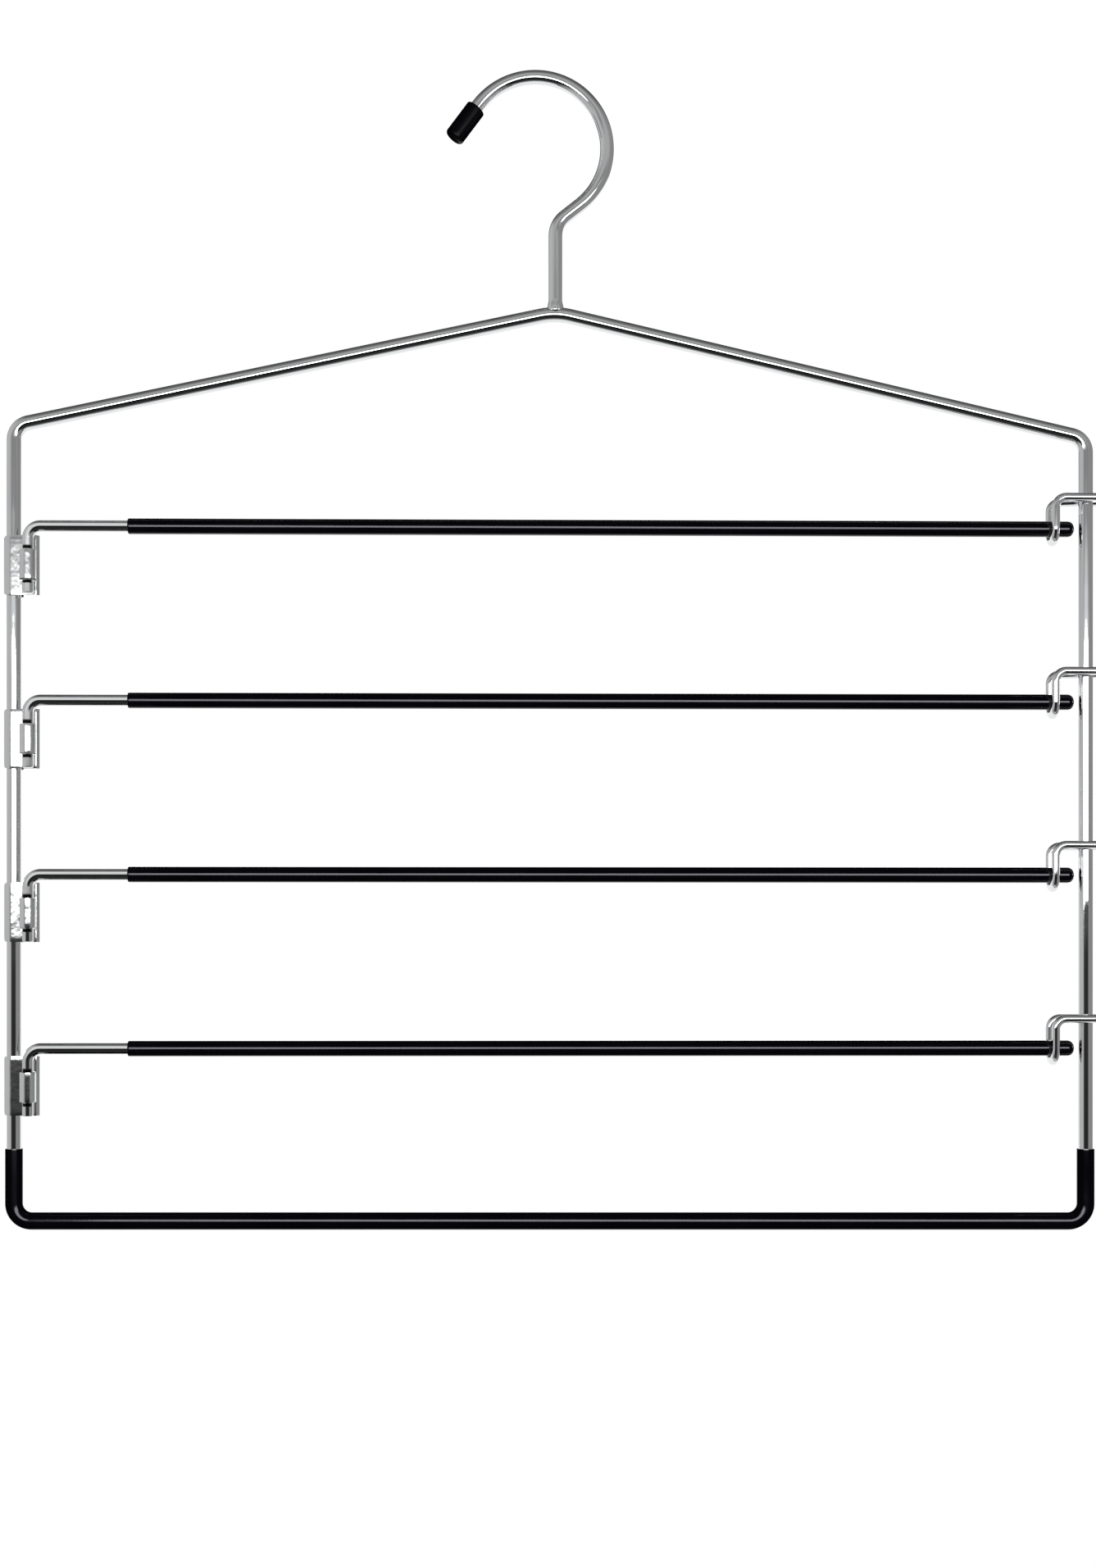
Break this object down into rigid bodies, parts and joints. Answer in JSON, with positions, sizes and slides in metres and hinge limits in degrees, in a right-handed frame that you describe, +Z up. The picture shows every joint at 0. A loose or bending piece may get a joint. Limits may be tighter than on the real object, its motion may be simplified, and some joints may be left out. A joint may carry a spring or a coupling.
{
  "type": "swing arm pants hanger",
  "caption": "Bent wire trouser hanger with a rail hook, stacked arms with black sleeves that hinge on one upright and latch in wire catches on the other, and a sleeved bottom bar.",
  "frame": {"origin": "the point inside the hook's bow that rests on top of the wardrobe rail", "axes": "+Z up; +X from the hinged upright to the upright with the catches; -Y the front, to which the arms swing out"},
  "size_m": [0.3711, 0.0138, 0.3928],
  "materials": {
    "chrome_wire": "polished",
    "chrome_sheet": "satin",
    "black_vinyl": "satin"
  },
  "bodies": {
    "frame": {"frame_wire": "chrome_wire", "bottom_sleeve": "black_vinyl", "top_hook": "chrome_wire", "hook_weld": "chrome_wire", "hook_tip_cap": "black_vinyl", "hinge_bracket_1": "chrome_sheet", "hinge_bracket_2": "chrome_sheet", "hinge_bracket_3": "chrome_sheet", "hinge_bracket_4": "chrome_sheet", "catch_1": "chrome_wire", "catch_2": "chrome_wire", "catch_3": "chrome_wire", "catch_4": "chrome_wire", "catch_welds": "chrome_wire"},
    "arm_1": {"arm_wire_1": "chrome_wire", "arm_sleeve_1": "black_vinyl"},
    "arm_2": {"arm_wire_2": "chrome_wire", "arm_sleeve_2": "black_vinyl"},
    "arm_3": {"arm_wire_3": "chrome_wire", "arm_sleeve_3": "black_vinyl"},
    "arm_4": {"arm_wire_4": "chrome_wire", "arm_sleeve_4": "black_vinyl"}
  },
  "joints": [
    {"name": "arm_1_swing", "type": "hinge", "parent": "frame", "child": "arm_1", "pos_m": [-0.17061, -0.00528, -0.1509], "axis": [0, 0, -1], "range_deg": [0, 170]},
    {"name": "arm_2_swing", "type": "hinge", "parent": "frame", "child": "arm_2", "pos_m": [-0.17061, -0.00528, -0.2095], "axis": [0, 0, -1], "range_deg": [0, 170]},
    {"name": "arm_3_swing", "type": "hinge", "parent": "frame", "child": "arm_3", "pos_m": [-0.17061, -0.00528, -0.2681], "axis": [0, 0, -1], "range_deg": [0, 170]},
    {"name": "arm_4_swing", "type": "hinge", "parent": "frame", "child": "arm_4", "pos_m": [-0.17061, -0.00528, -0.3267], "axis": [0, 0, -1], "range_deg": [0, 170]}
  ]
}
